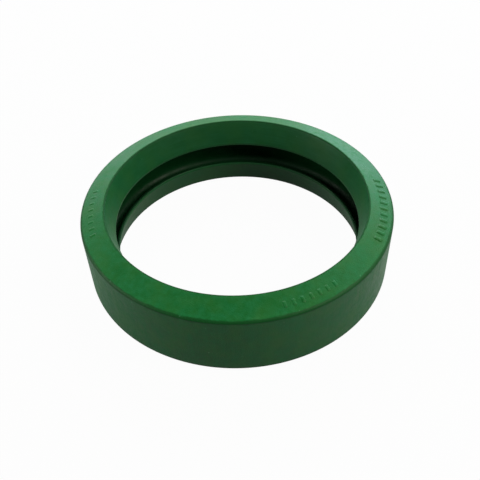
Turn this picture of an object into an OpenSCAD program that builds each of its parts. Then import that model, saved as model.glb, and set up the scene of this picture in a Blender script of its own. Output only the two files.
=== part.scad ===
// Gasket for a grooved pipe coupling, in its free state before it is stretched over two pipe ends.
// It is one moulded rubber ring of C section. The side faces slope up to a mouth edge on each side, and from
// there a sealing lip runs inwards to a thin, blunt tip. Behind the two tips lies an undercut cavity, where
// the line's own pressure presses the lips on to the pipes. The ring stands on its lower mouth edge, with its
// axis along Z.

/* [Pipe] */
// Outside diameter of the pipes that the gasket seals
pipe_d = 114.3; // [60:0.1:170]
// How much larger than the pipe the mouth edges are, across the diameter
mouth_clearance = 1.9; // [0.6:0.1:4]
// How much the pipe stretches the lip tips open, across the diameter
lip_stretch = 4.9; // [2:0.1:8]

/* [Lips] */
// Gap between the two lip tips
tip_gap = 10.9; // [6:0.1:18]
// Length of each lip along the axis, from its tip to the mouth edge
lip_reach = 12.75; // [10:0.05:18]
// Length of the straight land on each lip tip
tip_land = 0.7; // [0.4:0.1:3]
// Thickness of each lip at its blunt end
lip_end_t = 1.3; // [1:0.1:2.5]
// Thickness of each lip at its root
lip_root_t = 3; // [2.5:0.1:4.5]
// Radius of the two edges of a lip's blunt end
lip_edge_r = 0.6; // [0.2:0.1:1.2]

/* [Pressure cavity] */
// Depth of the cavity, from the lip tips out to its back wall
cavity_depth = 8.5; // [7:0.1:10]
// How far the cavity reaches along the axis behind each lip
pocket_depth = 4.75; // [3:0.05:8]
// Radius of the round sweep from the back wall into the pocket behind each lip
sweep_r = 3.9; // [1:0.1:4]
// Radius of the inner corner at each lip's root
root_r = 0.5; // [0.2:0.1:1]

/* [Outer wall] */
// Thickness of the wall behind the cavity
wall_t = 5.8; // [4:0.1:10]
// How far each side face falls towards the outer wall, along the axis
face_drop = 3.7; // [1:0.1:6]
// Radius of the two outer corners
corner_r = 1.5; // [0.5:0.1:4]
// Radius of the mouth edges
mouth_edge_r = 0.6; // [0.2:0.1:1.5]

/* [Hidden] */
$fn = 192;
rubber_green = [0.16, 0.38, 0.22];

// Radii from the bore outwards
tip_r = (pipe_d - lip_stretch) / 2;
mouth_r = (pipe_d + mouth_clearance) / 2;
cavity_back_r = tip_r + cavity_depth;
ring_r = cavity_back_r + wall_t;

// The two edges of a lip's end are no rounder than its thickness allows
edge_r = min(lip_edge_r, lip_end_t / 2);

// Heights above the ring's middle plane
tip_h = tip_gap / 2;
land_h = tip_h + edge_r + tip_land;
pocket_h = tip_h + pocket_depth;
mouth_h = tip_h + lip_reach;
wall_h = mouth_h - face_drop;

// Each lip's sealing face is a cone from the mouth edge to the land. Its root is level with the pocket's end.
lip_slope = (mouth_r - tip_r) / (mouth_h - land_h);
lip_root_r = tip_r + (pocket_h - land_h) * lip_slope + lip_root_t;
// The pocket's two roundings are no larger than its width allows
pocket_w = cavity_back_r - lip_root_r;
inner_r = min(root_r, pocket_w / 4);
back_r = min(sweep_r, pocket_w - inner_r);

// Corners of the section's upper half, each as radius, height above the middle plane, and rounding
outer_corner = [ring_r, wall_h, corner_r];
mouth_edge = [mouth_r, mouth_h, mouth_edge_r];
land_edge = [tip_r, land_h, 0];
lip_front = [tip_r, tip_h, edge_r];
lip_back = [tip_r + lip_end_t, tip_h, edge_r];
pocket_front = [lip_root_r, pocket_h, inner_r];
pocket_back = [cavity_back_r, pocket_h, back_r];

// The whole outline runs counter-clockwise, with the lower half as the upper half's mirror image
outside_half = [outer_corner, mouth_edge, land_edge, lip_front];
cavity_half = [lip_back, pocket_front, pocket_back];
upper_half = concat(outside_half, cavity_half);
function lower(half) = [for (i = [len(half) - 1:-1:0]) [half[i][0], -half[i][1], half[i][2]]];
function places(list) = [for (c = list) [c[0], c[1]]];
corners = concat(upper_half, lower(upper_half));

// A corner's place, and the unit vectors from it towards the corners before and after it
function place(i) = [corners[i][0], corners[i][1]];
function before(i) = place((i + len(corners) - 1) % len(corners));
function after(i) = place((i + 1) % len(corners));
function unit(v) = v / norm(v);
function back(i) = unit(before(i) - place(i));
function ahead(i) = unit(after(i) - place(i));

// The rounding's arc: half the angle between the two sides, the direction from the corner to the arc's
// centre, the centre itself and the two tangent points. A hair is added to the arc's radius, so that it
// crosses the two sides.
arc_overlap = 0.0005;
function half_angle(i) = acos(back(i) * ahead(i)) / 2;
function inwards(i) = unit(back(i) + ahead(i));
function arc_centre(i) = place(i) + inwards(i) * corners[i][2] / sin(half_angle(i));
function arc_reach(i) = corners[i][2] / tan(half_angle(i));
function arc_start(i) = place(i) + back(i) * arc_reach(i);
function arc_end(i) = place(i) + ahead(i) * arc_reach(i);
function arc_r(i) = corners[i][2] + arc_overlap;
function stands_out(i) = cross(-back(i), ahead(i)) > 0;
function is_round(i) = corners[i][2] > 0;

// Height of the rounded mouth edge above the middle plane, which is where the ring stands
mouth_index = search([mouth_edge], corners)[0];
half_height = arc_centre(mouth_index)[1] + arc_r(mouth_index);

// The sliver between a sharp corner and its arc, reaching a little past the corner
sliver_spare = 0.2;
module sliver(i) {
    difference() {
        polygon([arc_start(i), place(i) - inwards(i) * sliver_spare, arc_end(i), arc_centre(i)]);
        translate(arc_centre(i))
            circle(arc_r(i));
    }
}

module slivers(outward) {
    for (i = [0:len(corners) - 1])
        if (is_round(i) && stands_out(i) == outward)
            sliver(i);
}

// The cavity, with its inner corners rounded, open between the two lip tips
module cavity() {
    opening_r = tip_r - 1;
    difference() {
        polygon(concat(
            [[opening_r, tip_h]],
            places(cavity_half),
            places(lower(cavity_half)),
            [[opening_r, -tip_h]]
        ));
        slivers(outward = false);
    }
}

module section() {
    difference() {
        polygon(places(concat(outside_half, lower(outside_half))));
        cavity();
        slivers(outward = true);
    }
}

module gasket() {
    color(rubber_green)
        translate([0, 0, half_height])
            rotate_extrude()
                section();
}

gasket();
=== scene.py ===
# %% [markdown]
# # A gasket for a grooved pipe coupling
# The object is one moulded ring of green rubber. Two lips turn inwards from its side faces and seal on
# the ends of two pipes. Between them lies a hollow, where the line's pressure pushes the lips on to the
# pipe. The solid part comes ready made as a frame. The lesson dresses it as the real thing: a soft satin
# skin, the small marks that a mould leaves, and the light and the view of a plain product picture.

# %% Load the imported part
import math

import bpy
from mathutils import Matrix, Vector


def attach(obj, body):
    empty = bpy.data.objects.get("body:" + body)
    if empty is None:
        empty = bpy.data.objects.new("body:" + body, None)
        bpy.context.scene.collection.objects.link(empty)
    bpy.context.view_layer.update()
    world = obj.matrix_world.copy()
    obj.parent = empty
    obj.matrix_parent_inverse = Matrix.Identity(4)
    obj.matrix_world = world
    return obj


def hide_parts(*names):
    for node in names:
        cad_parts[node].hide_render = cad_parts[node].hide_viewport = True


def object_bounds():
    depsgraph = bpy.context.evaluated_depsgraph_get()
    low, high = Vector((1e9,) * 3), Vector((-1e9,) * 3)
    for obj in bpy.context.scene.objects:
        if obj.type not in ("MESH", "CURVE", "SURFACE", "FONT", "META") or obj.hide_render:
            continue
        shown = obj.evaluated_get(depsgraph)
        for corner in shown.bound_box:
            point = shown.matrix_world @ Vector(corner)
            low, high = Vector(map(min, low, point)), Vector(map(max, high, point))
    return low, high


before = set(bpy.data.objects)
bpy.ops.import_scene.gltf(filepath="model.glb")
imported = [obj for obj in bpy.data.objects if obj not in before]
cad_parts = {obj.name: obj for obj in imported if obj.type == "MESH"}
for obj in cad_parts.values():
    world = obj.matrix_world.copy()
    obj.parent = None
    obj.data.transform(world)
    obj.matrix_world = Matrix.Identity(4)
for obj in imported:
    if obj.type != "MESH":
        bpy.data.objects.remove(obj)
cad_low, cad_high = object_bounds()
print("Nodes:", sorted(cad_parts), "from", list(cad_low), "to", list(cad_high))

# %% [markdown]
# ## The section
# Cut the ring anywhere and the same letter C appears, open towards the axis. Seven corners draw its upper
# half, and the lower half is their mirror image. Each corner has a distance from the axis, a height above
# the ring's middle plane, and a rounding. They are the solid part's own sizes, in metres here because
# Blender works in metres. Two more points lie on the straight side face, where a thin line will be raised
# later.

# %% Corners of the section, with their roundings
MM = 0.001
middle_plane = (cad_low.z + cad_high.z) / 2
OUTER_RADIUS, WALL_HEIGHT = 69.0 * MM, 14.5 * MM
MOUTH_RADIUS, MOUTH_HEIGHT = 58.1 * MM, 18.2 * MM
FLASH_PEAK, FLASH_FOOT = 1.35 * MM, 2.05 * MM
face_tilt = math.atan2(MOUTH_HEIGHT - WALL_HEIGHT, OUTER_RADIUS - MOUTH_RADIUS)


def on_side_face(distance):
    """Radius and height of the place on the side face that lies that far from the outer corner."""
    return OUTER_RADIUS - distance * math.cos(face_tilt), WALL_HEIGHT + distance * math.sin(face_tilt)


SECTION = [
    # name, distance from the axis, height above the middle plane, rounding
    ("Outer Corner", OUTER_RADIUS, WALL_HEIGHT, 1.5 * MM),
    ("Flash Peak", *on_side_face(FLASH_PEAK), 0.0),
    ("Flash Foot", *on_side_face(FLASH_FOOT), 0.0),
    ("Mouth Edge", MOUTH_RADIUS, MOUTH_HEIGHT, 0.6 * MM),
    ("Land Edge", 54.7 * MM, 6.75 * MM, 0.0),
    ("Lip Front", 54.7 * MM, 5.45 * MM, 0.6 * MM),
    ("Lip Back", 56.0 * MM, 5.45 * MM, 0.6 * MM),
    ("Pocket Front", 58.724 * MM, 10.2 * MM, 0.5 * MM),
    ("Pocket Back", 63.2 * MM, 10.2 * MM, 3.9 * MM),
]
MEASURES = ("Radius", "Height", "Rounding")
print("Middle plane at", round(middle_plane / MM, 3), "mm")
print("Side faces tilted by", round(math.degrees(face_tilt), 1), "degrees")

# %% [markdown]
# ## Helpers for node trees
# A Geometry Nodes tree is a recipe that Blender can run again with other sizes. Each size is a named
# input of the tree, so a reader can change it in the modifier panel. A few small helpers keep the recipes
# readable: one makes an empty tree, one adds a node and joins its inputs, and the others do sums or give
# a noise.


# %% Helpers that build a tree
def new_tree(name, inputs):
    """An empty Geometry Nodes tree with a named input for each size."""
    tree = bpy.data.node_groups.new(name, "GeometryNodeTree")
    tree.is_modifier = True
    tree.interface.new_socket("Geometry", in_out="INPUT", socket_type="NodeSocketGeometry")
    for label, kind in inputs:
        tree.interface.new_socket(label, in_out="INPUT", socket_type="NodeSocket" + kind)
    tree.interface.new_socket("Geometry", in_out="OUTPUT", socket_type="NodeSocketGeometry")
    return tree


def add(tree, kind, *joined, **settings):
    """A new node with its settings. Its inputs follow in order: a socket, a value, or None to skip one."""
    node = tree.nodes.new(kind)
    for name, value in settings.items():
        setattr(node, name, value)
    sockets = [s for s in node.inputs if s.enabled]
    for socket, source in zip(sockets, joined):
        if isinstance(source, bpy.types.NodeSocket):
            tree.links.new(source, socket)
        elif source is not None:
            socket.default_value = source
    return node


def calc(tree, operation, *values):
    """The result of one sum, as a socket."""
    return add(tree, "ShaderNodeMath", *values, operation=operation).outputs[0]


def whole(tree, operation, *values):
    """The result of one sum with whole numbers, as a socket."""
    return add(tree, "FunctionNodeIntegerMath", *values, operation=operation).outputs[0]


def vector(tree, x=None, y=None, z=None):
    """Three numbers as one vector socket."""
    return add(tree, "ShaderNodeCombineXYZ", x, y, z).outputs[0]


def parts(tree, source):
    """The three numbers of a vector."""
    return add(tree, "ShaderNodeSeparateXYZ", source).outputs


def flat_distance(tree, x, y):
    """Length of a flat vector. For a place's x and y, it is the distance from the ring's axis."""
    return add(tree, "ShaderNodeVectorMath", vector(tree, x, y), operation="LENGTH").outputs["Value"]


def remap(tree, source, low, high, new_low, new_high, **settings):
    """A value moved from one range to another, and held within it."""
    return add(tree, "ShaderNodeMapRange", source, low, high, new_low, new_high, **settings).outputs[0]


def noise(tree, place, scale, detail, roughness):
    """A soft noise between 0 and 1. Its scale is in waves per metre."""
    return add(tree, "ShaderNodeTexNoise", place, scale, detail, roughness).outputs[0]


print("Helpers ready:", [f.__name__ for f in (new_tree, add, calc, whole, vector, parts, remap, noise)])

# %% [markdown]
# ## The ring's recipe, first part: the outline
# The outline could be typed in as hundreds of points, but a rule says it better. Eighteen points are
# numbered from 0 to 17, and a point in the second half takes the corner of its mirror partner and turns
# its height over. Fillet Curve then rounds each corner by its own radius. The straight stretches are cut
# into short steps, because smooth shading goes blotchy where a long face meets the tiny faces of a
# rounding.

# %% Inputs of the ring's recipe
ring_tree = new_tree(
    "Moulded ring",
    [(f"{name} {what}", "Float") for name, *_ in SECTION for what in MEASURES]
    + [("Middle Plane", "Float"), ("Segments Around", "Int"), ("Arc Steps", "Int")]
    + [("Straight Step", "Float"), ("Flash Height", "Float")]
    + [("Flash Width", "Float"), ("Flash Seed", "Float")]
    + [(f"{zone} Finish", "Material") for zone in ("Side", "Wall", "Lip", "Hollow")],
)
ring_in = ring_tree.nodes.new("NodeGroupInput").outputs
print("Ring recipe has", len(ring_in) - 2, "inputs")


# %% Outline of the section as nodes
def pick(tree, number, sources):
    """The source with that number, by an Index Switch."""
    node = add(tree, "GeometryNodeIndexSwitch", data_type="FLOAT")
    while len(node.index_switch_items) < len(sources):
        node.index_switch_items.new()
    tree.links.new(number, node.inputs[0])
    for socket, source in zip(node.inputs[1:], sources):
        tree.links.new(source, socket)
    return node.outputs[0]


def section_outline(tree, inputs):
    """The closed, rounded outline. X is the distance outside the lip tips and Y is the height."""
    count = 2 * len(SECTION)
    index = add(tree, "GeometryNodeInputIndex").outputs[0]
    corner = whole(tree, "MINIMUM", index, whole(tree, "SUBTRACT", count - 1, index))
    upper = calc(tree, "LESS_THAN", index, len(SECTION) - 0.5)
    sign = calc(tree, "MULTIPLY_ADD", upper, 2.0, -1.0)
    radius, height, rounding = [
        pick(tree, corner, [inputs[f"{name} {what}"] for name, *_ in SECTION]) for what in MEASURES
    ]
    outward = calc(tree, "SUBTRACT", radius, inputs["Land Edge Radius"])
    place = vector(tree, outward, calc(tree, "MULTIPLY", height, sign))
    points = add(tree, "GeometryNodeMeshLine", count).outputs[0]
    placed = add(tree, "GeometryNodeSetPosition", points, None, place).outputs[0]
    curve = add(tree, "GeometryNodeMeshToCurve", placed).outputs[0]
    closed = add(tree, "GeometryNodeSetSplineCyclic", curve, None, True).outputs[0]
    rounded = add(tree, "GeometryNodeFilletCurve", closed, inputs["Arc Steps"], rounding, mode="POLY")
    return rounded.outputs[0]


def cut_straights(tree, curve, step):
    """The same outline, with each stretch longer than a step cut into steps."""
    index = add(tree, "GeometryNodeInputIndex").outputs[0]
    count = add(tree, "GeometryNodeAttributeDomainSize", curve, component="CURVE").outputs["Point Count"]
    after = whole(tree, "MODULO", whole(tree, "ADD", index, 1), count)
    here = add(tree, "GeometryNodeInputPosition").outputs[0]
    there = add(tree, "GeometryNodeFieldAtIndex", here, after, data_type="FLOAT_VECTOR", domain="POINT")
    length = add(tree, "ShaderNodeVectorMath", here, there.outputs[0], operation="DISTANCE").outputs["Value"]
    cuts = calc(tree, "FLOOR", calc(tree, "DIVIDE", length, step))
    return add(tree, "GeometryNodeSubdivideCurve", curve, cuts).outputs[0]


outline = section_outline(ring_tree, ring_in)
outline = cut_straights(ring_tree, outline, ring_in["Straight Step"])
print("Outline recipe:", len(ring_tree.nodes), "nodes")

# %% [markdown]
# ## The ring's recipe, second part: the sweep and the flash line
# Curve to Mesh carries the outline round a circle, as a lathe would. Where the two halves of the mould
# met, a little rubber crept into the joint and left a thin, uneven line beside the upper outer corner. A
# ridge that is higher in some places and almost gone in others looks right there, so a noise sets its
# height. It moves the ring's own points, so the ring stays one closed skin.

# %% Sweep and flash line as nodes
# Noise of the ridge's height: scale, detail and roughness
FLASH_NOISE = (110.0, 3.0, 0.6)
# The part of the noise that counts, and the share of the full height at its two ends
FLASH_FADE = (0.36, 0.66, 0.05, 1.0)
# Two faces that meet at more degrees than this show a crease
SHARP_DEGREES = 14.0


def flash_ridge(tree, mesh, inputs):
    """Lifts a thin uneven line on the upper side face, just inside the outer rounding."""
    x, y, z = parts(tree, add(tree, "GeometryNodeInputPosition").outputs[0])
    inside = calc(tree, "SUBTRACT", inputs["Flash Peak Radius"], flat_distance(tree, x, y))
    peak = calc(tree, "ADD", inputs["Middle Plane"], inputs["Flash Peak Height"])
    above = calc(tree, "SUBTRACT", z, peak)
    away = flat_distance(tree, inside, above)
    ridge = remap(tree, away, 0.0, inputs["Flash Width"], 1.0, 0.0, interpolation_type="SMOOTHSTEP")
    spread = vector(tree, x, y, inputs["Flash Seed"])
    uneven = remap(tree, noise(tree, spread, *FLASH_NOISE), *FLASH_FADE)
    lift = calc(tree, "MULTIPLY", calc(tree, "MULTIPLY", ridge, uneven), inputs["Flash Height"])
    normal = add(tree, "GeometryNodeInputNormal").outputs[0]
    offset = add(tree, "ShaderNodeVectorMath", normal, operation="SCALE")
    tree.links.new(lift, offset.inputs["Scale"])
    return add(tree, "GeometryNodeSetPosition", mesh, None, None, offset.outputs[0]).outputs[0]


def smooth_but_for_edges(tree, mesh, sharp_degrees):
    """Smooth shading, with a crease wherever two faces meet at more than that angle."""
    smooth = add(tree, "GeometryNodeSetShadeSmooth", mesh, None, True, domain="FACE").outputs[0]
    angle = add(tree, "GeometryNodeInputMeshEdgeAngle").outputs[0]
    crease = calc(tree, "GREATER_THAN", angle, math.radians(sharp_degrees))
    return add(tree, "GeometryNodeSetShadeSmooth", smooth, crease, False, domain="EDGE").outputs[0]


circle = add(
    ring_tree, "GeometryNodeCurvePrimitiveCircle", ring_in["Segments Around"], ring_in["Land Edge Radius"],
    mode="RADIUS",
)
path = add(ring_tree, "GeometryNodeSetCurveNormal", circle.outputs[0], mode="Z_UP").outputs[0]
swept = add(ring_tree, "GeometryNodeCurveToMesh", path, outline).outputs[0]
lift = vector(ring_tree, z=ring_in["Middle Plane"])
raised = add(ring_tree, "GeometryNodeSetPosition", swept, None, None, lift).outputs[0]
flashed = flash_ridge(ring_tree, raised, ring_in)
shaded = smooth_but_for_edges(ring_tree, flashed, SHARP_DEGREES)
print("Sweep recipe:", len(ring_tree.nodes), "nodes")

# %% [markdown]
# ## Four finishes on one moulding
# The mould's halves leave a satin skin on the side faces. The outer wall has the same skin, and dust from
# the shelf clings to it. The core that shapes the lips is polished, because the pipe seals there. The wall
# and the lips get a darker base colour than the side faces, and the hollow behind the lips a much darker
# one, as painted shade. So the same rubber gets four finishes, and the faces are sorted by where they lie.

# %% Sort the faces by finish and end the recipe
# Share of the outer rounding that still counts as wall
WALL_SHARE = 0.05
# How far a face may lie off the surface that bounds the hollow
SKIN = 0.12 * MM


def wall_lip_and_hollow(tree, inputs):
    """Three masks: the outer wall, the faces within the mouth edges, and the hollow behind the lips."""
    x, y, z = parts(tree, add(tree, "GeometryNodeInputPosition").outputs[0])
    radius = flat_distance(tree, x, y)
    height = calc(tree, "ABSOLUTE", calc(tree, "SUBTRACT", z, inputs["Middle Plane"]))
    rounded = calc(tree, "MULTIPLY", inputs["Outer Corner Rounding"], WALL_SHARE)
    wall = calc(tree, "GREATER_THAN", radius, calc(tree, "SUBTRACT", inputs["Outer Corner Radius"], rounded))
    lip = calc(tree, "LESS_THAN", radius, inputs["Mouth Edge Radius"])
    # A lip's sealing face is a cone from the land to the mouth edge
    cone = remap(
        tree, height, inputs["Land Edge Height"], inputs["Mouth Edge Height"],
        inputs["Land Edge Radius"], inputs["Mouth Edge Radius"],
    )
    behind = calc(tree, "GREATER_THAN", radius, calc(tree, "ADD", cone, SKIN))
    before_wall = calc(tree, "LESS_THAN", radius, calc(tree, "ADD", inputs["Pocket Back Radius"], SKIN))
    below_top = calc(tree, "LESS_THAN", height, calc(tree, "ADD", inputs["Pocket Back Height"], SKIN))
    hollow = calc(tree, "MULTIPLY", calc(tree, "MULTIPLY", behind, before_wall), below_top)
    return wall, lip, hollow


wall, lip, hollow = wall_lip_and_hollow(ring_tree, ring_in)
dressed = add(ring_tree, "GeometryNodeRealizeInstances", shaded).outputs[0]
for zone, mask in (("Side", None), ("Wall", wall), ("Lip", lip), ("Hollow", hollow)):
    dressed = add(ring_tree, "GeometryNodeSetMaterial", dressed, mask, ring_in[f"{zone} Finish"]).outputs[0]
add(ring_tree, "NodeGroupOutput", dressed)
print("Ring recipe finished:", len(ring_tree.nodes), "nodes")

# %% [markdown]
# ## Raised bars on the side face
# The mould leaves three rows of low, plain bars on the side face. They have soft tops and sloping sides,
# so that they come out of the mould. One bar is a little block with rounded edges. Instance on Points
# copies it along an arc, and each copy is turned so that its length points at the axis and its top
# follows the sloping face.

# %% Inputs of the bars' recipe
bar_tree = new_tree(
    "Raised bars",
    [("First Angle", "Float"), ("Last Angle", "Float"), ("Bar Count", "Int"), ("Row Radius", "Float")]
    + [("Row Height", "Float"), ("Face Tilt", "Float"), ("Bar Length", "Float"), ("Bar Width", "Float")]
    + [("Bar Height", "Float"), ("Draft", "Float"), ("Finish", "Material")],
)
bar_in = bar_tree.nodes.new("NodeGroupInput").outputs
print("Bar recipe has", len(bar_in) - 2, "inputs")

# %% Recipe for a row of raised bars
# Points along a bar's length, width and height, before its edges are softened
BAR_POINTS = (4, 3, 3)
# Rounds of softening, and the share of its sharpness that an edge keeps
SOFTENING = (2, 0.2)


def soft_block(tree, inputs):
    """One bar, half sunk into the face, with sloping sides and soft edges."""
    tall = calc(tree, "MULTIPLY", inputs["Bar Height"], 2.0)
    size = vector(tree, inputs["Bar Length"], inputs["Bar Width"], tall)
    cube = add(tree, "GeometryNodeMeshCube", size, *BAR_POINTS).outputs[0]
    x, y, z = parts(tree, add(tree, "GeometryNodeInputPosition").outputs[0])
    top = calc(tree, "GREATER_THAN", z, calc(tree, "MULTIPLY", inputs["Bar Height"], 0.5))
    draft = calc(tree, "MULTIPLY", top, calc(tree, "MULTIPLY", inputs["Draft"], -1.0))
    inward = [calc(tree, "MULTIPLY", calc(tree, "SIGN", side), draft) for side in (x, y)]
    sloped = add(tree, "GeometryNodeSetPosition", cube, None, None, vector(tree, *inward)).outputs[0]
    soft = add(tree, "GeometryNodeSubdivisionSurface", sloped, *SOFTENING).outputs[0]
    return add(tree, "GeometryNodeSetShadeSmooth", soft, None, True).outputs[0]


def bar_row(tree, inputs):
    """Points along the arc, and the turn that each bar needs."""
    share = calc(
        tree, "DIVIDE", add(tree, "GeometryNodeInputIndex").outputs[0],
        calc(tree, "SUBTRACT", inputs["Bar Count"], 1.0),
    )
    swing = calc(tree, "SUBTRACT", inputs["Last Angle"], inputs["First Angle"])
    angle = calc(tree, "MULTIPLY_ADD", share, swing, inputs["First Angle"])
    across, back = calc(tree, "COSINE", angle), calc(tree, "SINE", angle)
    lean, stand = calc(tree, "SINE", inputs["Face Tilt"]), calc(tree, "COSINE", inputs["Face Tilt"])

    def spoke(length, height):
        """A vector of that length away from the axis, and that height."""
        x, y = [calc(tree, "MULTIPLY", side, length) for side in (across, back)]
        return vector(tree, x, y, height)

    up = spoke(lean, stand)
    out = spoke(stand, calc(tree, "MULTIPLY", lean, -1.0))
    turn = add(tree, "FunctionNodeAxesToRotation", up, out, primary_axis="Z", secondary_axis="X").outputs[0]
    place = spoke(inputs["Row Radius"], inputs["Row Height"])
    return add(tree, "GeometryNodePoints", inputs["Bar Count"], place).outputs[0], turn


row, turn = bar_row(bar_tree, bar_in)
bars = add(bar_tree, "GeometryNodeInstanceOnPoints", row, None, soft_block(bar_tree, bar_in))
bar_tree.links.new(turn, bars.inputs["Rotation"])
bars = add(bar_tree, "GeometryNodeRealizeInstances", bars.outputs[0]).outputs[0]
bars = add(bar_tree, "GeometryNodeSetMaterial", bars, None, bar_in["Finish"]).outputs[0]
both = add(bar_tree, "GeometryNodeJoinGeometry")
for piece in (bars, bar_in["Geometry"]):
    bar_tree.links.new(piece, both.inputs[0])
add(bar_tree, "NodeGroupOutput", both.outputs[0])
print("Bar recipe:", len(bar_tree.nodes), "nodes")

# %% [markdown]
# ## What the rubber's surface shows
# Moulded rubber is never one flat colour. It is a little paler where wax has come to the surface, it
# holds specks of dust and talc, the turned mould leaves fine rings and drag marks, and its grain breaks
# up the shine. Every finish needs these effects, so each effect is a shader node group with named inputs,
# and each material sets its own amounts.


# %% Shader groups for streaks and bloom
def new_group(name, inputs, outputs):
    """An empty shader node group with named inputs and outputs."""
    group = bpy.data.node_groups.new(name, "ShaderNodeTree")
    for label, kind in inputs:
        group.interface.new_socket(label, in_out="INPUT", socket_type="NodeSocket" + kind)
    for label, kind in outputs:
        group.interface.new_socket(label, in_out="OUTPUT", socket_type="NodeSocket" + kind)
    return group


def blend_colours(tree, share, first, second):
    """The first colour, with that share of the second."""
    node = add(tree, "ShaderNodeMix", share, first, second, data_type="RGBA")
    return [s for s in node.outputs if s.enabled][0]


# A noise is a scale, a detail and a roughness, and a range is the part of the noise that counts
STREAK_NOISE, STREAK_RANGE = (1.0, 3.0, 0.55), (0.3, 0.7)
CLOUD_NOISE, PATCH_NOISE, BLOOM_RANGE = (70.0, 4.0, 0.62), (420.0, 3.0, 0.6), (0.38, 0.64)
WARM_NOISE, WARM_RANGE = (115.0, 2.0, 0.5), (0.42, 0.66)
# Share of the large clouds in the bloom, with small patches as the rest
CLOUD_SHARE = 0.4

# Streaks follow the ring: many of them round it run upright, and many up it run round
streaks = new_group(
    "Mould streaks",
    [("Vector", "Vector"), ("Round The Ring", "Float"), ("Up The Ring", "Float")],
    [("Mask", "Float")],
)
source = streaks.nodes.new("NodeGroupInput").outputs
x, y, z = parts(streaks, source["Vector"])
radius = flat_distance(streaks, x, y)
turned = [
    calc(streaks, "MULTIPLY", calc(streaks, "DIVIDE", side, radius), source["Round The Ring"])
    for side in (x, y)
]
stretched = vector(streaks, *turned, calc(streaks, "MULTIPLY", z, source["Up The Ring"]))
mask = remap(streaks, noise(streaks, stretched, *STREAK_NOISE), *STREAK_RANGE, 0.0, 1.0)
add(streaks, "NodeGroupOutput", mask)

bloom = new_group(
    "Rubber bloom",
    [("Vector", "Vector"), ("Rubber", "Color"), ("Bloomed", "Color"), ("Amount", "Float"), ("Warm", "Color")]
    + [("Warm Amount", "Float"), ("Streaks", "Float"), ("Streak Share", "Float")],
    [("Color", "Color"), ("Mask", "Float")],
)
source = bloom.nodes.new("NodeGroupInput").outputs
clouds = noise(bloom, source["Vector"], *CLOUD_NOISE)
patches = calc(bloom, "MULTIPLY", noise(bloom, source["Vector"], *PATCH_NOISE), 1.0 - CLOUD_SHARE)
cloudy = calc(bloom, "MULTIPLY_ADD", clouds, CLOUD_SHARE, patches)
mask = remap(bloom, cloudy, *BLOOM_RANGE, 0.0, 1.0)
streaky = calc(bloom, "SUBTRACT", source["Streaks"], mask)
mask = calc(bloom, "MULTIPLY_ADD", streaky, source["Streak Share"], mask)
paler = calc(bloom, "MULTIPLY", mask, source["Amount"])
colour = blend_colours(bloom, paler, source["Rubber"], source["Bloomed"])
warmth = remap(bloom, noise(bloom, source["Vector"], *WARM_NOISE), *WARM_RANGE, 0.0, source["Warm Amount"])
add(bloom, "NodeGroupOutput", blend_colours(bloom, warmth, colour, source["Warm"]), mask)
print("Shader groups:", streaks.name, "and", bloom.name)

# %% Shader groups for painted edge shade, dust and grain
RAGGED_NOISE, RAGGED_RANGE = (260.0, 3.0, 0.6), (0.3, 0.7)
# The reach of the painted edge shade wanders between these shares of itself, and its inner share is shaded
# fully
RAGGED_REACH = (0.75, 1.25)
EDGE_SHADE_FULLY = 0.6
edge_shade_group = new_group(
    "Painted edge shade",
    [("Vector", "Vector"), ("Edge Radius", "Float"), ("Edge Height", "Float"), ("Reach", "Float")],
    [("Mask", "Float")],
)
source = edge_shade_group.nodes.new("NodeGroupInput").outputs
x, y, z = parts(edge_shade_group, source["Vector"])
outside = calc(edge_shade_group, "SUBTRACT", flat_distance(edge_shade_group, x, y), source["Edge Radius"])
height = calc(edge_shade_group, "ABSOLUTE", calc(edge_shade_group, "SUBTRACT", z, middle_plane))
above = calc(edge_shade_group, "SUBTRACT", height, source["Edge Height"])
away = flat_distance(edge_shade_group, outside, above)
ragged = remap(edge_shade_group, noise(edge_shade_group, source["Vector"], *RAGGED_NOISE), *RAGGED_RANGE, *RAGGED_REACH)
reach = calc(edge_shade_group, "MULTIPLY", source["Reach"], ragged)
near = remap(edge_shade_group, away, calc(edge_shade_group, "MULTIPLY", reach, EDGE_SHADE_FULLY), reach, 1.0, 0.0)
add(edge_shade_group, "NodeGroupOutput", near)

# A cell that draws a higher number than this holds a speck. Sizes are in cells.
SPECK_DRAW = 0.72
LEAST_SPECK, SPECK_SPREAD = 0.03, 0.10
# Share of a speck that covers the rubber fully
SPECK_CORE = 0.5
dust = new_group(
    "Dust specks",
    [("Vector", "Vector"), ("Under", "Color"), ("Dust", "Color"), ("Amount", "Float"), ("Spacing", "Float")],
    [("Color", "Color")],
)
source = dust.nodes.new("NodeGroupInput").outputs
cells = add(dust, "ShaderNodeTexVoronoi", source["Vector"], feature="F1")
dust.links.new(calc(dust, "DIVIDE", 1.0, source["Spacing"]), cells.inputs["Scale"])
lottery = add(dust, "ShaderNodeSeparateColor", cells.outputs["Color"]).outputs
chosen = calc(dust, "GREATER_THAN", lottery[0], SPECK_DRAW)
size = calc(dust, "MULTIPLY_ADD", lottery[1], SPECK_SPREAD, LEAST_SPECK)
core = calc(dust, "MULTIPLY", size, SPECK_CORE)
speck = remap(dust, cells.outputs["Distance"], core, size, 1.0, 0.0)
cover = calc(dust, "MULTIPLY", calc(dust, "MULTIPLY", speck, chosen), source["Amount"])
add(dust, "NodeGroupOutput", blend_colours(dust, cover, source["Under"], source["Dust"]))

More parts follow.
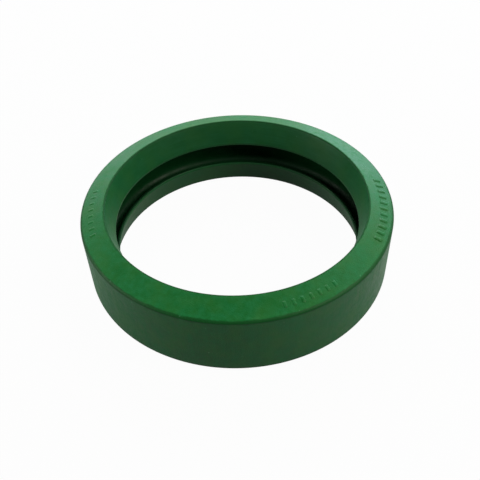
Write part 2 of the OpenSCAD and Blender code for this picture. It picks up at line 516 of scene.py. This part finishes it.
FINE_NOISE, WAVE_NOISE = (1900.0, 3.0, 0.6), (160.0, 2.0, 0.5)
grain = new_group(
    "Mould grain",
    [("Vector", "Vector"), ("Fine", "Float"), ("Waves", "Float"), ("Streaks", "Float")]
    + [("Streak Depth", "Float")],
    [("Height", "Float")],
)
source = grain.nodes.new("NodeGroupInput").outputs
height = calc(grain, "MULTIPLY", noise(grain, source["Vector"], *FINE_NOISE), source["Fine"])
height = calc(grain, "MULTIPLY_ADD", noise(grain, source["Vector"], *WAVE_NOISE), source["Waves"], height)
height = calc(grain, "MULTIPLY_ADD", source["Streaks"], source["Streak Depth"], height)
add(grain, "NodeGroupOutput", height)
print("Shader groups:", edge_shade_group.name, dust.name, "and", grain.name)

# %% [markdown]
# ## The four finishes
# Each finish is one Principled shader with the same five groups before it. Beside the amounts, the base
# colours differ: the wall and the lips are darker than the side faces, and the hollow much darker, all as
# painted shade. The wall has upright drag marks and dust, the polished lips have fine rings from the turned
# mould, and the hollow has paler streaks. The rounded outer corners and mouth edges are painted darker, as
# painted shade, and their shine is duller. The grain's heights are in millimetres, because the Bump node's
# distance is one millimetre.

# %% Finishes from the shared groups
FINISHES = {
    "satin_green_rubber": {
        "rubber": (0.002, 0.093, 0.014), "bloomed": (0.007, 0.127, 0.037), "bloom": 0.8,
        "warm": (0.013, 0.104, 0.0145), "warm_amount": 0.6, "dust": 0.3,
        "gloss": 0.13, "roughness": 0.44, "spread": 0.10, "fine": 0.075, "waves": 0.13,
        "round": 46.0, "up": 30.0, "streak_share": 0.1, "streak_depth": 0.004,
    },
    # The wall's base colours are darker than the side face's: painted shade.
    "dusty_shaded_green_rubber": {
        "rubber": (0.002, 0.067, 0.0145), "bloomed": (0.007, 0.100, 0.035), "bloom": 0.7,
        "warm": (0.017, 0.090, 0.014), "warm_amount": 0.4, "dust": 0.5,
        "gloss": 0.25, "roughness": 0.42, "spread": 0.12, "fine": 0.075, "waves": 0.14,
        "round": 46.0, "up": 30.0, "streak_share": 0.4, "streak_depth": 0.012,
    },
    # The lips' base colours are darker than the side face's: painted shade.
    "polished_shaded_green_rubber": {
        "rubber": (0.003, 0.061, 0.0145), "bloomed": (0.008, 0.087, 0.030), "bloom": 0.7,
        "warm": (0.009, 0.073, 0.014), "warm_amount": 0.5, "dust": 0.2,
        "gloss": 0.20, "roughness": 0.40, "spread": 0.08, "fine": 0.030, "waves": 0.06,
        "round": 5.0, "up": 1500.0, "streak_share": 0.6, "streak_depth": 0.012,
    },
    # The hollow's base colours are far darker: painted shade behind the lips, with paler streaks.
    "shaded_hollow_green_rubber": {
        "rubber": (0.0015, 0.022, 0.006), "bloomed": (0.003, 0.032, 0.009), "bloom": 0.5,
        "warm": (0.003, 0.024, 0.006), "warm_amount": 0.3, "dust": 0.1,
        "gloss": 0.06, "roughness": 0.40, "spread": 0.16, "fine": 0.006, "waves": 0.12,
        "round": 9.0, "up": 240.0, "streak_share": 0.6, "streak_depth": 0.030,
    },
}
SHADED_DULL_EDGES = [
    # distance from the axis, height above the middle plane, reach of the painted shade, roughness there
    (OUTER_RADIUS, WALL_HEIGHT, 1.3 * MM, 0.50),
    (MOUTH_RADIUS, MOUTH_HEIGHT, 0.8 * MM, 0.75),
]
# Share of the rubber's own colour that is left where shade is painted on an edge
PAINTED_EDGE_SHADE = 0.6
DUST_COLOUR = (0.09, 0.24, 0.13, 1.0)
DUST_SPACING = 3.2 * MM


def placed_group(tree, group, place, **values):
    """A node group in a material, with its vector joined and each named input joined or set."""
    node = add(tree, "ShaderNodeGroup", node_tree=group)
    tree.links.new(place, node.inputs["Vector"])
    for label, value in values.items():
        socket = node.inputs[label.replace("_", " ").title()]
        if isinstance(value, bpy.types.NodeSocket):
            tree.links.new(value, socket)
        else:
            socket.default_value = value
    return node.outputs


def rubber(name, look):
    """A green rubber with its own amounts of streaks, bloom, dust and grain."""
    material = bpy.data.materials.new(name)
    material.use_nodes = True
    tree = material.node_tree
    shader = tree.nodes["Principled BSDF"]
    shader.inputs["Specular IOR Level"].default_value = look["gloss"]
    place = add(tree, "ShaderNodeTexCoord").outputs["Object"]
    streak = placed_group(tree, streaks, place, round_the_ring=look["round"], up_the_ring=look["up"])["Mask"]
    tinted = placed_group(
        tree, bloom, place, rubber=(*look["rubber"], 1.0), bloomed=(*look["bloomed"], 1.0),
        amount=look["bloom"], warm=(*look["warm"], 1.0), warm_amount=look["warm_amount"],
        streaks=streak, streak_share=look["streak_share"],
    )
    colour = tinted["Color"]
    dullest, glossiest = look["roughness"] + look["spread"], look["roughness"] - look["spread"]
    roughness = remap(tree, tinted["Mask"], 0.0, 1.0, glossiest, dullest)
    painted_edge_colour = (*[PAINTED_EDGE_SHADE * part for part in look["rubber"]], 1.0)
    # Each rounded edge is painted darker, as painted shade, and its shine is made duller
    for radius, height, reach, dull in SHADED_DULL_EDGES:
        edge = placed_group(tree, edge_shade_group, place, edge_radius=radius, edge_height=height, reach=reach)["Mask"]
        colour = blend_colours(tree, edge, colour, painted_edge_colour)
        roughness = remap(tree, edge, 0.0, 1.0, roughness, dull)
    dusted = placed_group(
        tree, dust, place, under=colour, dust=DUST_COLOUR, amount=look["dust"], spacing=DUST_SPACING,
    )
    tree.links.new(dusted["Color"], shader.inputs["Base Color"])
    tree.links.new(roughness, shader.inputs["Roughness"])
    height = placed_group(
        tree, grain, place, fine=look["fine"], waves=look["waves"], streaks=streak,
        streak_depth=look["streak_depth"],
    )["Height"]
    bump = add(tree, "ShaderNodeBump")
    bump.inputs["Distance"].default_value = 1.0 * MM
    tree.links.new(height, bump.inputs["Height"])
    tree.links.new(bump.outputs[0], shader.inputs["Normal"])
    return material


# The wall's, the lips' and the hollow's finishes carry painted shade in their darker base colours.
satin, dusty_shaded_wall, polished_shaded_lips, hollow_shaded = [rubber(name, look) for name, look in FINISHES.items()]
print("Finishes:", satin.name, dusty_shaded_wall.name, polished_shaded_lips.name, hollow_shaded.name)

# %% [markdown]
# ## Run the recipes
# An empty mesh carries the modifiers: the ring first, then each row of bars. A modifier's input is set by
# its identifier, because two sockets may share a name. The result is then copied into a plain mesh, so
# that what rides on the frame has no recipe left to run.


# %% Helpers that run a recipe
def recipe(holder, tree, values):
    """A Geometry Nodes modifier on the holder, with its named inputs set."""
    modifier = holder.modifiers.new(tree.name, "NODES")
    modifier.node_group = tree
    for item in tree.interface.items_tree:
        if item.item_type == "SOCKET" and item.in_out == "INPUT" and item.name in values:
            modifier[item.identifier] = values[item.name]


def plain_mesh(holder, name):
    """The evaluated result as a new object with no modifiers and no empty material slots."""
    graph = bpy.context.evaluated_depsgraph_get()
    mesh = bpy.data.meshes.new_from_object(
        holder.evaluated_get(graph), preserve_all_data_layers=True, depsgraph=graph,
    )
    mesh.name = name
    for slot in reversed(range(len(mesh.materials))):
        if mesh.materials[slot] is None:
            mesh.materials.pop(index=slot)
    holder.modifiers.clear()
    bpy.data.objects.remove(holder)
    made = bpy.data.objects.new(name, mesh)
    bpy.context.scene.collection.objects.link(made)
    return made


print("Helpers ready: recipe, plain_mesh")

# %% Make the ring and its bars
BAR_ROWS = [
    # first angle, last angle, bars, distance from the axis, length, width, height
    (-26.5, 8.0, 11, 64.6 * MM, 3.9 * MM, 2.2 * MM, 0.38 * MM),
    (-75.0, -55.0, 7, 64.2 * MM, 2.9 * MM, 1.7 * MM, 0.20 * MM),
    (172.0, 198.0, 8, 64.2 * MM, 2.9 * MM, 1.7 * MM, 0.16 * MM),
]
holder = bpy.data.objects.new("ring_recipe", bpy.data.meshes.new("ring_recipe"))
bpy.context.scene.collection.objects.link(holder)
sizes = {f"{name} {what}": size for name, *three in SECTION for what, size in zip(MEASURES, three)}
sizes |= {"Middle Plane": middle_plane, "Segments Around": 420, "Arc Steps": 8, "Straight Step": 1.4 * MM}
sizes |= {"Flash Height": 0.12 * MM, "Flash Width": 0.65 * MM, "Flash Seed": 3.7}
sizes |= {"Side Finish": satin, "Wall Finish": dusty_shaded_wall, "Lip Finish": polished_shaded_lips, "Hollow Finish": hollow_shaded}
recipe(holder, ring_tree, sizes)
for first, last, count, distance, *bar in BAR_ROWS:
    drop = (distance - MOUTH_RADIUS) * math.tan(face_tilt)
    row_height = middle_plane + MOUTH_HEIGHT - drop
    sizes = {"First Angle": math.radians(first), "Last Angle": math.radians(last), "Bar Count": count}
    sizes |= {"Row Radius": distance, "Row Height": row_height, "Face Tilt": face_tilt}
    sizes |= dict(zip(("Bar Length", "Bar Width", "Bar Height"), bar))
    recipe(holder, bar_tree, sizes | {"Draft": 0.55 * MM, "Finish": satin})
ring = plain_mesh(holder, "gasket_ring")
ring.data.calc_loop_triangles()
print("Ring:", len(ring.data.vertices), "points and", len(ring.data.loop_triangles), "triangles")
print("Finishes on it:", [m.name for m in ring.data.materials])

# %% Check that the skin is closed and faces outwards
volume = 0.0
for triangle in ring.data.loop_triangles:
    a, b, c = [ring.data.vertices[i].co for i in triangle.vertices]
    volume += a.dot(b.cross(c)) / 6
print("Enclosed volume:", round(volume * 1e6, 2), "cubic centimetres")

# %% [markdown]
# ## Put the ring on the frame
# The dressed ring stands for the solid one: it has the same outline and the same place, so the solid is
# hidden and the ring rides on its body.

# %% Ride on the frame
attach(ring, "root")
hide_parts("gasket")
print("The ring replaces the node gasket and rides on root")

# %% [markdown]
# ## Floor and background
# The picture has a white background with no edge in sight. Brightening the lamps until the floor clips
# would also bleach the rubber, so the floor and the world show white only to the rays that the camera and
# reflections follow. A share of the floor stays ordinary grey paper, so that it keeps a faint shadow
# under the ring.


# %% Floor and world
def seen_rays(tree, camera, glossy):
    """That share for camera rays, and the other for glossy and transmission rays."""
    rays = add(tree, "ShaderNodeLightPath").outputs
    mirrored = calc(tree, "MAXIMUM", rays["Is Glossy Ray"], rays["Is Transmission Ray"])
    return calc(
        tree, "MULTIPLY_ADD", mirrored, glossy, calc(tree, "MULTIPLY", rays["Is Camera Ray"], camera),
    )


FLOOR_REACH = 3.0
GREY_PAPER, WHITE = (0.40, 0.40, 0.40, 1.0), (1.0, 1.0, 1.0, 1.0)
AMBIENT_TINT, AMBIENT_STRENGTH = (0.95, 1.0, 1.0, 1.0), 0.02
# Share of white for camera rays, and for glossy and transmission rays
FLOOR_SEEN, WORLD_SEEN = (0.972, 0.2), (0.98, 1.0)
corners = [(-1, -1), (1, -1), (1, 1), (-1, 1)]
floor_mesh = bpy.data.meshes.new("studio_floor")
floor_mesh.from_pydata([(x * FLOOR_REACH, y * FLOOR_REACH, 0) for x, y in corners], [], [(0, 1, 2, 3)])
floor = bpy.data.objects.new("studio_floor", floor_mesh)
bpy.context.scene.collection.objects.link(floor)
paper = bpy.data.materials.new("pale_paper")
paper.use_nodes = True
tree = paper.node_tree
tree.nodes.remove(tree.nodes["Principled BSDF"])
matt = add(tree, "ShaderNodeBsdfDiffuse", GREY_PAPER).outputs[0]
glow = add(tree, "ShaderNodeEmission", WHITE, 1.0).outputs[0]
shown = add(tree, "ShaderNodeMixShader", seen_rays(tree, *FLOOR_SEEN), matt, glow).outputs[0]
tree.links.new(shown, tree.nodes["Material Output"].inputs["Surface"])
floor_mesh.materials.append(paper)

world = bpy.data.worlds.new("studio")
bpy.context.scene.world = world
world.use_nodes = True
tree = world.node_tree
ambient = tree.nodes["Background"]
ambient.inputs["Color"].default_value = AMBIENT_TINT
ambient.inputs["Strength"].default_value = AMBIENT_STRENGTH
white = add(tree, "ShaderNodeBackground", WHITE, 1.0).outputs[0]
shown = add(tree, "ShaderNodeMixShader", seen_rays(tree, *WORLD_SEEN), ambient.outputs[0], white).outputs[0]
tree.links.new(shown, tree.nodes["World Output"].inputs["Surface"])
print("Floor and world ready")

# %% [markdown]
# ## Lamps
# Six soft lamps stand round the ring. Rather more than half of the light comes from behind, as from a
# window, so the far side face shines and the near one stays deep green: two softboxes stand high, and two
# low panes shine along the far side face. A panel on the left and one on the right keep the outer wall
# from going black. Large lamps give soft edges, and cool light from behind with warmer light in front is
# what a room by day looks like.

# %% Lamps
LAMP_SIDE = 0.5
LAMP_DISTANCE = 0.9
LAMPS = [
    # name, azimuth (0 is on the right and 90 is behind the ring), elevation, power, colour
    ("back_softbox", 90.0, 38.0, 6.0, (1.0, 0.97, 1.06)),
    ("window_right", 60.0, 15.0, 3.2, (0.62, 1.0, 1.08)),
    ("window_left", 120.0, 15.0, 1.5, (0.75, 1.0, 1.05)),
    ("left_panel", 185.0, 18.0, 4.8, (0.94, 1.0, 0.88)),
    ("right_panel", 335.0, 38.0, 5.9, (1.03, 1.0, 0.84)),
    ("right_softbox", 45.0, 45.0, 2.8, (0.90, 1.0, 0.95)),
]


def soft_lamp(name, azimuth, elevation, power, colour):
    """A large soft lamp aimed at the ring's middle."""
    data = bpy.data.lights.new(name, "AREA")
    data.shape, data.size = "SQUARE", LAMP_SIDE
    data.energy, data.color = power, colour
    lamp = bpy.data.objects.new(name, data)
    bpy.context.scene.collection.objects.link(lamp)
    a, e = math.radians(azimuth), math.radians(elevation)
    way = Vector((math.cos(a) * math.cos(e), math.sin(a) * math.cos(e), math.sin(e)))
    lamp.location = Vector((0, 0, middle_plane)) + way * LAMP_DISTANCE
    lamp.rotation_euler = way.to_track_quat("Z", "Y").to_euler()
    lamp.visible_camera = False


for lamp in LAMPS:
    soft_lamp(*lamp)
print("Lamps:", [name for name, *_ in LAMPS])

# %% [markdown]
# ## The camera
# The view was measured from the ring itself. The ratio of the ellipse's axes gives the height of the
# view, and how much smaller the far side looks gives the distance. The picture is square, and a slight
# roll tilts it, as when a camera is held by hand.

# %% Camera
# Lens and sensor in millimetres, and the distance from the ring's middle in metres
LENS, SENSOR, DISTANCE = 49.635, 36.0, 0.30477
ELEVATION = math.radians(42.87)
TURN, NOD, ROLL = math.radians(-0.17), math.radians(-1.26), math.radians(2.32)
eye = Vector((0, -math.cos(ELEVATION), math.sin(ELEVATION))) * DISTANCE
ahead, right = -eye.normalized(), Vector((1, 0, 0))
up = right.cross(ahead)
ahead, right = [Matrix.Rotation(TURN, 3, up) @ v for v in (ahead, right)]
ahead, up = [Matrix.Rotation(NOD, 3, right) @ v for v in (ahead, up)]
right, up = [Matrix.Rotation(ROLL, 3, ahead) @ v for v in (right, up)]
lens = bpy.data.cameras.new("product_view")
lens.lens, lens.sensor_width = LENS, SENSOR
lens.clip_start, lens.clip_end = 0.01, 20.0
camera = bpy.data.objects.new("product_view", lens)
bpy.context.scene.collection.objects.link(camera)
turned = Matrix((right, up, -ahead)).transposed()
camera.matrix_world = Matrix.Translation(eye + Vector((0, 0, middle_plane))) @ turned.to_4x4()
bpy.context.scene.camera = camera
bpy.context.scene.view_settings.view_transform = "Standard"
print("Camera at", [round(v, 4) for v in camera.location])
